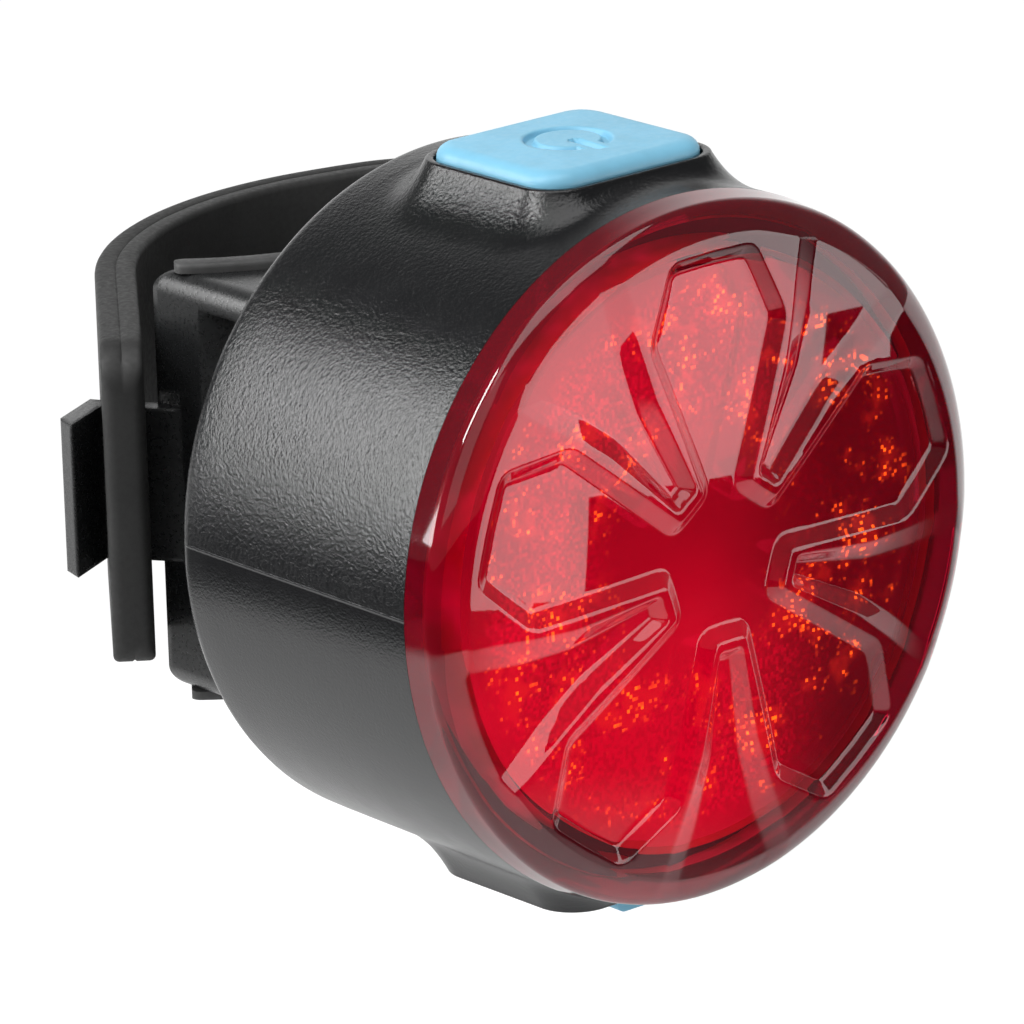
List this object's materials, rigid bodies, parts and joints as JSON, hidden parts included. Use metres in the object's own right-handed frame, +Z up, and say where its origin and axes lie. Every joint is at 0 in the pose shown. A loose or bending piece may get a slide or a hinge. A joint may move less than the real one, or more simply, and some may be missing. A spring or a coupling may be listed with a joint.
{
  "type": "bike tail light",
  "caption": "Round bicycle tail light: red domed lens with recessed petals on a short black barrel, key on top, rubber strap hooked round a seat-post saddle.",
  "frame": {"origin": "on the axis of the seat post that the saddle holds, at the middle height of the light", "axes": "+Z is up along the seat post; the lens faces -Y, away from the post; +X is the side of the strap's pin"},
  "size_m": [0.0448, 0.0541, 0.0432],
  "materials": {
    "red_lens": "clear red moulded plastic, polished",
    "seal_rubber": "soft black rubber",
    "prism_plastic": "clear red plastic with a grid of small prisms",
    "reflector_plastic": "bright moulded plastic",
    "lamp_resin": "white case with yellow resin",
    "board": "green solder mask",
    "chip_resin": "black epoxy",
    "steel": "plated steel",
    "switch_plastic": "white plastic",
    "port_steel": "formed steel sheet",
    "cell_foil": "grey foil pouch",
    "foam": "foam tape",
    "lead_sleeve": "insulated wire",
    "housing_plastic": "black plastic, half gloss, with a fine moulded grain",
    "cover_plastic": "black plastic, fine grain",
    "blue_silicone": "light blue silicone, satin",
    "bracket_plastic": "black plastic, fine grain",
    "pad_rubber": "dull dark rubber",
    "strap_rubber": "dull dark grey rubber"
  },
  "bodies": {
    "light": {"lens": "red_lens", "lens_gasket": "seal_rubber", "prism_panel": "prism_plastic", "reflector": "reflector_plastic", "leds": "lamp_resin", "circuit_board": "board", "board_parts": "chip_resin", "board_screws": "steel", "switch_body": "chip_resin", "usb_socket": "port_steel", "usb_tongue": "chip_resin", "battery": "cell_foil", "battery_tape": "foam", "battery_leads": "lead_sleeve", "housing": "housing_plastic", "rear_cover": "cover_plastic", "cover_seal": "seal_rubber", "cover_screws": "steel", "bracket": "bracket_plastic", "bracket_pad": "pad_rubber", "bracket_screws": "steel", "strap_pin": "steel"},
    "key": {"power_button": "blue_silicone"},
    "plunger": {"switch_plunger": "switch_plastic"},
    "port_cover": {"usb_cover": "blue_silicone"},
    "strap_loop": {"strap": "strap_rubber"}
  },
  "joints": [
    {"name": "key_press", "type": "slide", "parent": "light", "child": "key", "axis": [0, 0, -1], "range_m": [0, 0.00045], "stiffness_N_per_m": 400, "springref_m": -0.0003},
    {"name": "plunger_press", "type": "slide", "parent": "light", "child": "plunger", "axis": [0, 0, -1], "range_m": [0, 0.00045]},
    {"name": "port_cover_flip", "type": "hinge", "parent": "light", "child": "port_cover", "pos_m": [0, -0.02779, -0.0197], "axis": [1, 0, 0], "range_deg": [0, 88]},
    {"name": "strap_swing", "type": "hinge", "parent": "light", "child": "strap_loop", "pos_m": [0.0156, -0.01103, 0], "axis": [0, 0, 1], "range_deg": [-0.8, 1.8]}
  ],
  "couplings": [
    {"joint": "plunger_press", "follows": "key_press", "ratio": 1}
  ]
}
